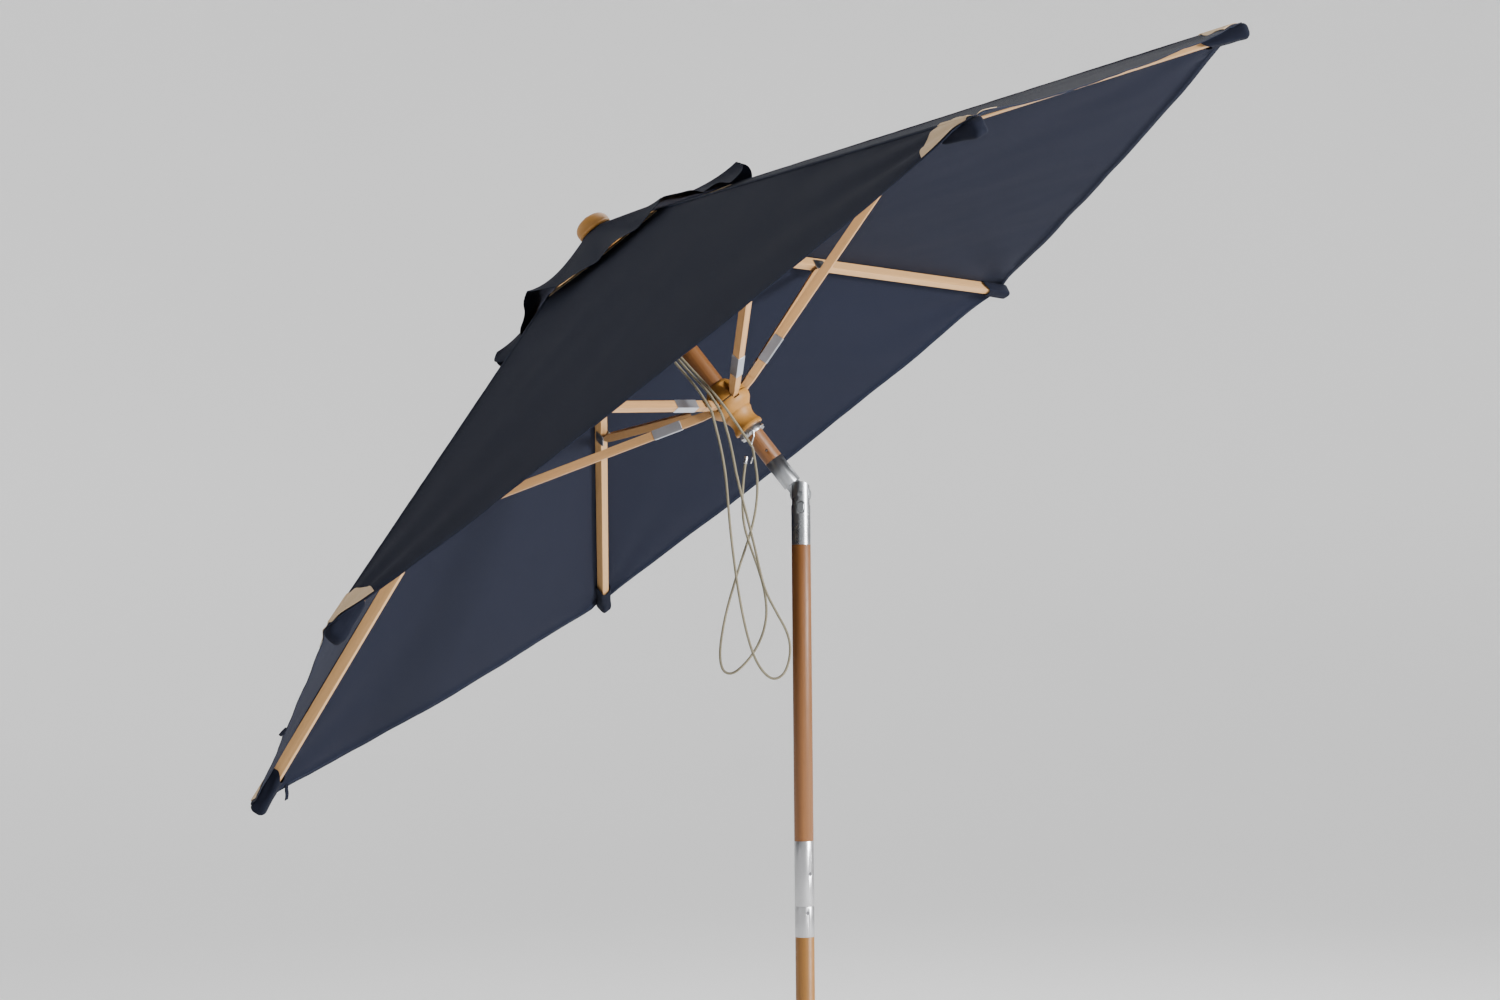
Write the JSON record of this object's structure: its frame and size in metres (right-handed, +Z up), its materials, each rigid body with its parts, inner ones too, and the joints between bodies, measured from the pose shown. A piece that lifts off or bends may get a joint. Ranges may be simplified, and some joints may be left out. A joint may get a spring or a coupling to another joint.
{
  "type": "tilting garden parasol",
  "caption": "Six-sided navy parasol on a two-piece wooden pole, open and tilted, with ribs, struts, sliding runner and a cord hoist.",
  "frame": {"origin": "centre of the pole's foot, at its lowest face", "axes": "+Z up the upright pole; the head leans towards -X; -Y is the side with the tilt button and the hanging cord"},
  "size_m": [2.0065, 2.2626, 2.6634],
  "materials": {
    "lower_pole_wood": "oiled hardwood, yellow-brown, satin",
    "pole_wood": "oiled hardwood, warm brown, satin",
    "rib_wood": "pale oiled hardwood, fine straight grain",
    "strut_wood": "pale oiled hardwood, fine straight grain",
    "hub_wood": "varnished yellow turned wood",
    "ferrule_metal": "satin silver anodised",
    "tilt_metal": "brushed, darker silver",
    "tilt_button_metal": "brushed",
    "sleeve_metal": "satin",
    "bracket_metal": "satin",
    "steel": "bright",
    "bright_metal": "bright satin",
    "pulley_plastic": "black nylon",
    "canopy_cloth": "navy plain-weave canopy cloth",
    "vent_cloth": "navy plain-weave canopy cloth",
    "beige_textile": "beige braided cord and woven reinforcing cloth"
  },
  "bodies": {
    "lower_post": {"lower_pole": "lower_pole_wood", "lower_ferrule": "ferrule_metal", "lower_ferrule_screw": "steel", "coupling_spigot": "ferrule_metal"},
    "middle_post": {"mid_pole": "pole_wood", "upper_ferrule": "ferrule_metal", "upper_ferrule_screw": "steel", "tilt_fork": "tilt_metal", "tilt_pin": "tilt_button_metal", "button_spring": "steel"},
    "push_button": {"tilt_button": "tilt_button_metal"},
    "head": {"tilt_knuckle": "tilt_metal", "upper_pole": "pole_wood", "crown": "hub_wood", "crown_wire": "steel", "finial": "hub_wood", "pulley_block": "bright_metal", "pulley_axle": "steel", "vent_cap": "vent_cloth", "hoist_line": "beige_textile", "cord_standing_end": "beige_textile"},
    "pulley": {"pulley_wheel": "pulley_plastic"},
    "runner": {"runner": "hub_wood", "runner_ring": "bright_metal", "runner_wire": "steel"},
    "front_loop": {"cord_loop_front": "beige_textile"},
    "back_loop": {"cord_loop_back": "beige_textile", "cord_end_ferrule": "bright_metal", "cord_hook": "bright_metal"},
    "rib_a": {"rib_a": "rib_wood", "rib_bracket_a": "bracket_metal"},
    "strut_a": {"strut_a": "strut_wood", "strut_sleeve_a": "sleeve_metal"},
    "rib_b": {"rib_b": "rib_wood", "rib_bracket_b": "bracket_metal"},
    "strut_b": {"strut_b": "strut_wood", "strut_sleeve_b": "sleeve_metal"},
    "rib_c": {"rib_c": "rib_wood", "rib_bracket_c": "bracket_metal"},
    "strut_c": {"strut_c": "strut_wood", "strut_sleeve_c": "sleeve_metal"},
    "rib_d": {"rib_d": "rib_wood", "rib_bracket_d": "bracket_metal"},
    "strut_d": {"strut_d": "strut_wood", "strut_sleeve_d": "sleeve_metal"},
    "rib_e": {"rib_e": "rib_wood", "rib_bracket_e": "bracket_metal"},
    "strut_e": {"strut_e": "strut_wood", "strut_sleeve_e": "sleeve_metal"},
    "rib_f": {"rib_f": "rib_wood", "rib_bracket_f": "bracket_metal"},
    "strut_f": {"strut_f": "strut_wood", "strut_sleeve_f": "sleeve_metal"},
    "panel_ab": {"canopy_panel_ab": "canopy_cloth"},
    "panel_bc": {"canopy_panel_bc": "canopy_cloth"},
    "panel_cd": {"canopy_panel_cd": "canopy_cloth"},
    "panel_de": {"canopy_panel_de": "canopy_cloth"},
    "panel_ef": {"canopy_panel_ef": "canopy_cloth"},
    "panel_fa": {"canopy_panel_fa": "canopy_cloth"}
  },
  "joints": [
    {"name": "pole_coupling", "type": "slide", "parent": "lower_post", "child": "middle_post", "axis": [0, 0, 1], "range_m": [0, 0.07]},
    {"name": "tilt", "type": "hinge", "parent": "middle_post", "child": "head", "pos_m": [0, 0, 1.75], "axis": [0, 1, 0], "range_deg": [0, 37.2]},
    {"name": "tilt_button", "type": "slide", "parent": "middle_post", "child": "push_button", "axis": [0, 1, 0], "range_m": [0, 0.003], "stiffness_N_per_m": 800, "springref_m": -0.002, "deforming": ["button_spring"]},
    {"name": "pulley_turn", "type": "hinge", "parent": "head", "child": "pulley", "pos_m": [-0.37459, 0, 2.19885], "axis": [0.7965, 0, 0.6046], "continuous": true},
    {"name": "runner_slide", "type": "slide", "parent": "head", "child": "runner", "axis": [0.6046, 0, -0.7965], "range_m": [0, 0.11], "deforming": ["hoist_line", "cord_standing_end", "vent_cap"]},
    {"name": "front_loop_hang", "type": "hinge", "parent": "runner", "child": "front_loop", "pos_m": [-0.159, -0.0745, 1.9065], "axis": [0, 1, 0], "range_deg": [-37.3, 0.1], "deforming": ["cord_loop_front"]},
    {"name": "back_loop_hang", "type": "hinge", "parent": "runner", "child": "back_loop", "pos_m": [-0.09371, -0.037, 1.87346], "axis": [0, 1, 0], "range_deg": [-37.3, 0.1], "deforming": ["cord_loop_back"]},
    {"name": "rib_a_hinge", "type": "hinge", "parent": "head", "child": "rib_a", "pos_m": [-0.36597, -0.00228, 2.28825], "axis": [0.0533, 0.9978, 0.0405], "range_deg": [-0.1, 5.13]},
    {"name": "strut_a_hinge", "type": "hinge", "parent": "runner", "child": "strut_a", "pos_m": [-0.11249, -0.00254, 1.9609], "axis": [-0.0533, -0.9978, -0.0405], "range_deg": [-0.1, 6.4]},
    {"name": "rib_b_hinge", "type": "hinge", "parent": "head", "child": "rib_b", "pos_m": [-0.37791, 0.02824, 2.27919], "axis": [-0.6616, 0.5569, -0.5022], "range_deg": [-0.1, 5.13]},
    {"name": "strut_b_hinge", "type": "hinge", "parent": "runner", "child": "strut_b", "pos_m": [-0.12583, 0.03156, 1.95078], "axis": [0.6616, -0.5569, 0.5022], "range_deg": [-0.1, 6.4]},
    {"name": "rib_c_hinge", "type": "hinge", "parent": "head", "child": "rib_c", "pos_m": [-0.40493, 0.03052, 2.25868], "axis": [-0.7149, -0.4409, -0.5427], "range_deg": [-0.1, 5.13]},
    {"name": "strut_c_hinge", "type": "hinge", "parent": "runner", "child": "strut_c", "pos_m": [-0.15603, 0.03411, 1.92785], "axis": [0.7149, 0.4409, 0.5427], "range_deg": [-0.1, 6.4]},
    {"name": "rib_d_hinge", "type": "hinge", "parent": "head", "child": "rib_d", "pos_m": [-0.42001, 0.00228, 2.24723], "axis": [-0.0533, -0.9978, -0.0405], "range_deg": [-0.1, 5.13]},
    {"name": "strut_d_hinge", "type": "hinge", "parent": "runner", "child": "strut_d", "pos_m": [-0.17289, 0.00254, 1.91506], "axis": [0.0533, 0.9978, 0.0405], "range_deg": [-0.1, 6.4]},
    {"name": "rib_e_hinge", "type": "hinge", "parent": "head", "child": "rib_e", "pos_m": [-0.40807, -0.02824, 2.2563], "axis": [0.6616, -0.5569, 0.5022], "range_deg": [-0.1, 5.13]},
    {"name": "strut_e_hinge", "type": "hinge", "parent": "runner", "child": "strut_e", "pos_m": [-0.15954, -0.03156, 1.92519], "axis": [-0.6616, 0.5569, -0.5022], "range_deg": [-0.1, 6.4]},
    {"name": "rib_f_hinge", "type": "hinge", "parent": "head", "child": "rib_f", "pos_m": [-0.38105, -0.03052, 2.27681], "axis": [0.7149, 0.4409, 0.5427], "range_deg": [-0.1, 5.13]},
    {"name": "strut_f_hinge", "type": "hinge", "parent": "runner", "child": "strut_f", "pos_m": [-0.12934, -0.03411, 1.94811], "axis": [-0.7149, -0.4409, -0.5427], "range_deg": [-0.1, 6.4]},
    {"name": "panel_ab_hinge", "type": "hinge", "parent": "head", "child": "panel_ab", "pos_m": [-0.3814, 0.01298, 2.29619], "axis": [-0.3512, 0.8976, -0.2666], "range_deg": [-0.1, 5.62], "deforming": ["canopy_panel_ab"]},
    {"name": "panel_bc_hinge", "type": "hinge", "parent": "head", "child": "panel_bc", "pos_m": [-0.40088, 0.02938, 2.2814], "axis": [-0.7947, 0.067, -0.6032], "range_deg": [-0.1, 5.62], "deforming": ["canopy_panel_bc"]},
    {"name": "panel_cd_hinge", "type": "hinge", "parent": "head", "child": "panel_cd", "pos_m": [-0.42193, 0.0164, 2.26542], "axis": [-0.4436, -0.8306, -0.3367], "range_deg": [-0.1, 5.62], "deforming": ["canopy_panel_cd"]},
    {"name": "panel_de_hinge", "type": "hinge", "parent": "head", "child": "panel_de", "pos_m": [-0.4235, -0.01298, 2.26423], "axis": [0.3512, -0.8976, 0.2666], "range_deg": [-0.1, 5.62], "deforming": ["canopy_panel_de"]},
    {"name": "panel_ef_hinge", "type": "hinge", "parent": "head", "child": "panel_ef", "pos_m": [-0.40402, -0.02938, 2.27902], "axis": [0.7947, -0.067, 0.6032], "range_deg": [-0.1, 5.62], "deforming": ["canopy_panel_ef"]},
    {"name": "panel_fa_hinge", "type": "hinge", "parent": "head", "child": "panel_fa", "pos_m": [-0.38297, -0.0164, 2.295], "axis": [0.4436, 0.8306, 0.3367], "range_deg": [-0.1, 5.62], "deforming": ["canopy_panel_fa"]}
  ],
  "couplings": [
    {"joint": "front_loop_hang", "follows": "tilt", "ratio": -1},
    {"joint": "back_loop_hang", "follows": "tilt", "ratio": -1},
    {"joint": "rib_a_hinge", "follows": "runner_slide", "rad_per_m": 0.79894},
    {"joint": "strut_a_hinge", "follows": "runner_slide", "rad_per_m": 0.99994},
    {"joint": "rib_b_hinge", "follows": "runner_slide", "rad_per_m": 0.79894},
    {"joint": "strut_b_hinge", "follows": "runner_slide", "rad_per_m": 0.99994},
    {"joint": "rib_c_hinge", "follows": "runner_slide", "rad_per_m": 0.79894},
    {"joint": "strut_c_hinge", "follows": "runner_slide", "rad_per_m": 0.99994},
    {"joint": "rib_d_hinge", "follows": "runner_slide", "rad_per_m": 0.79894},
    {"joint": "strut_d_hinge", "follows": "runner_slide", "rad_per_m": 0.99994},
    {"joint": "rib_e_hinge", "follows": "runner_slide", "rad_per_m": 0.79894},
    {"joint": "strut_e_hinge", "follows": "runner_slide", "rad_per_m": 0.99994},
    {"joint": "rib_f_hinge", "follows": "runner_slide", "rad_per_m": 0.79894},
    {"joint": "strut_f_hinge", "follows": "runner_slide", "rad_per_m": 0.99994},
    {"joint": "panel_ab_hinge", "follows": "runner_slide", "rad_per_m": 0.8756},
    {"joint": "panel_bc_hinge", "follows": "runner_slide", "rad_per_m": 0.8756},
    {"joint": "panel_cd_hinge", "follows": "runner_slide", "rad_per_m": 0.8756},
    {"joint": "panel_de_hinge", "follows": "runner_slide", "rad_per_m": 0.8756},
    {"joint": "panel_ef_hinge", "follows": "runner_slide", "rad_per_m": 0.8756},
    {"joint": "panel_fa_hinge", "follows": "runner_slide", "rad_per_m": 0.8756}
  ]
}
